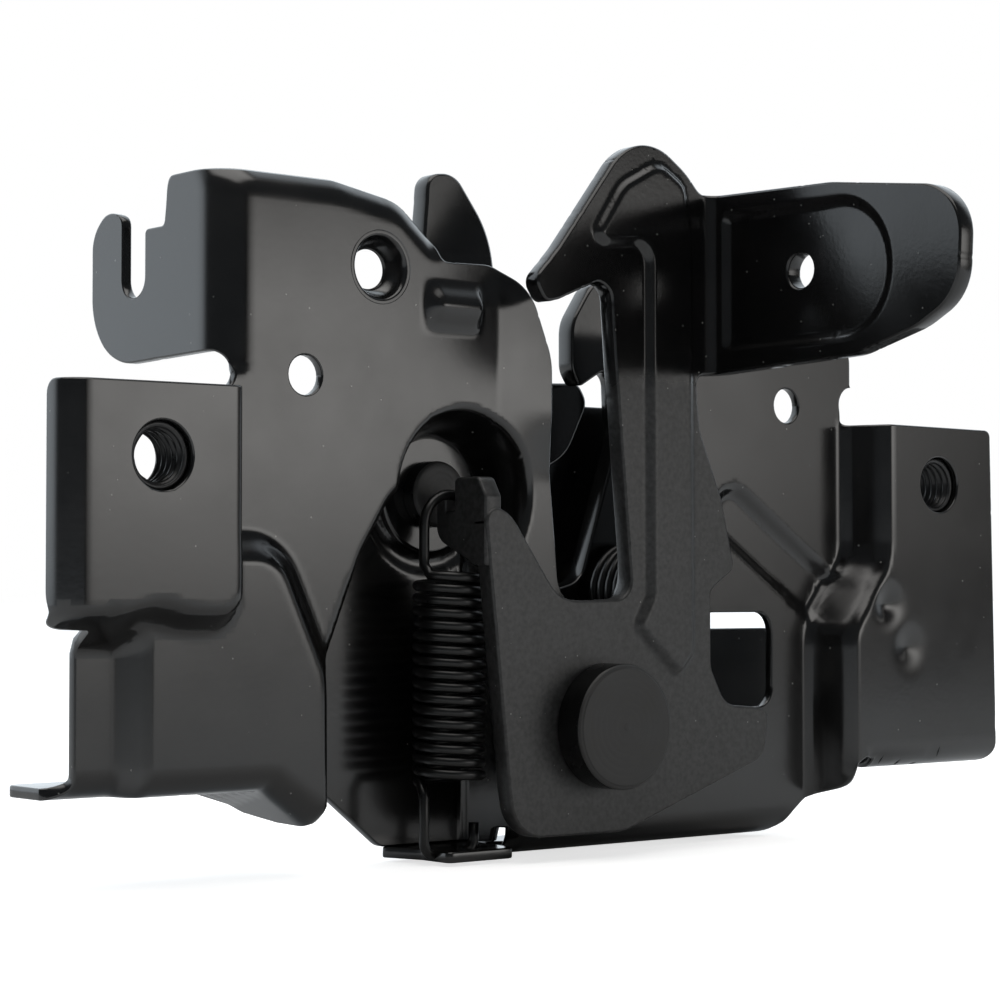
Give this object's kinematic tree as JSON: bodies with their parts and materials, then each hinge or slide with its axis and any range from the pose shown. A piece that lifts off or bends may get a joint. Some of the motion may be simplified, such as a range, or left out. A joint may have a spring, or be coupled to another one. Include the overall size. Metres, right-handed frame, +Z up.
{
  "type": "bonnet latch",
  "caption": "Car bonnet latch: folded steel plate with pads, slotted cable bracket, hooked safety lever with pull handle, coil spring, and a pivoting hook, pawl and lifter behind.",
  "frame": {"origin": "midway between the two mounting bolts, on the rear face of the mounting pads where the weld nuts sit", "axes": "+X to the right across the latch, +Y to the rear (away from the viewer of the front), +Z up; bolts leave along -Y"},
  "size_m": [0.1814, 0.0917, 0.1066],
  "materials": {
    "black_coat": "satin black dip coating",
    "coated_rivet": "matte black dip coating",
    "zinc_steel": "turned, dull zinc",
    "nut_steel": "dark coated steel",
    "spring_wire": "gloss black wire",
    "phosphated_steel": "dark grey phosphate",
    "buffer_rubber": "matte"
  },
  "bodies": {
    "base": {"base_plate": "black_coat", "weld_nut_left": "nut_steel", "weld_nut_right": "nut_steel", "safety_rivet": "coated_rivet", "safety_spacer": "zinc_steel", "safety_washer": "zinc_steel", "safety_spring": "spring_wire", "hook_rivet": "zinc_steel", "hook_spacer": "zinc_steel", "hook_washer": "zinc_steel", "hook_spring": "spring_wire", "pawl_rivet": "coated_rivet", "pawl_washer": "zinc_steel", "lifter_spring": "spring_wire", "cover_plate": "black_coat", "cover_stud": "zinc_steel", "striker_buffer": "buffer_rubber"},
    "safety_lever": {"safety_hook": "black_coat"},
    "hook": {"main_hook": "phosphated_steel"},
    "release_pawl": {"pawl": "phosphated_steel"},
    "striker_lifter": {"lifter": "black_coat"}
  },
  "joints": [
    {"name": "safety_lever_hinge", "type": "hinge", "parent": "base", "child": "safety_lever", "pos_m": [0.0005, 0, -0.0376], "axis": [0, 1, 0], "range_deg": [0, 12], "stiffness_Nm_per_rad": 1, "springref_deg": -28.65, "deforming": ["safety_spring"]},
    {"name": "main_hook_hinge", "type": "hinge", "parent": "base", "child": "hook", "pos_m": [0.021, 0.01915, -0.018], "axis": [0, 1, 0], "range_deg": [-24, 0], "stiffness_Nm_per_rad": 0.1, "springref_deg": 28.65},
    {"name": "pawl_hinge", "type": "hinge", "parent": "base", "child": "release_pawl", "pos_m": [-0.0196, 0.01915, -0.0034], "axis": [0, 1, 0], "range_deg": [-16, 0], "stiffness_Nm_per_rad": 0.1, "springref_deg": 22.92},
    {"name": "lifter_hinge", "type": "hinge", "parent": "base", "child": "striker_lifter", "pos_m": [-0.0196, 0.02305, -0.0034], "axis": [0, 1, 0], "range_deg": [0, 30], "stiffness_Nm_per_rad": 0.05, "springref_deg": -22.92}
  ]
}
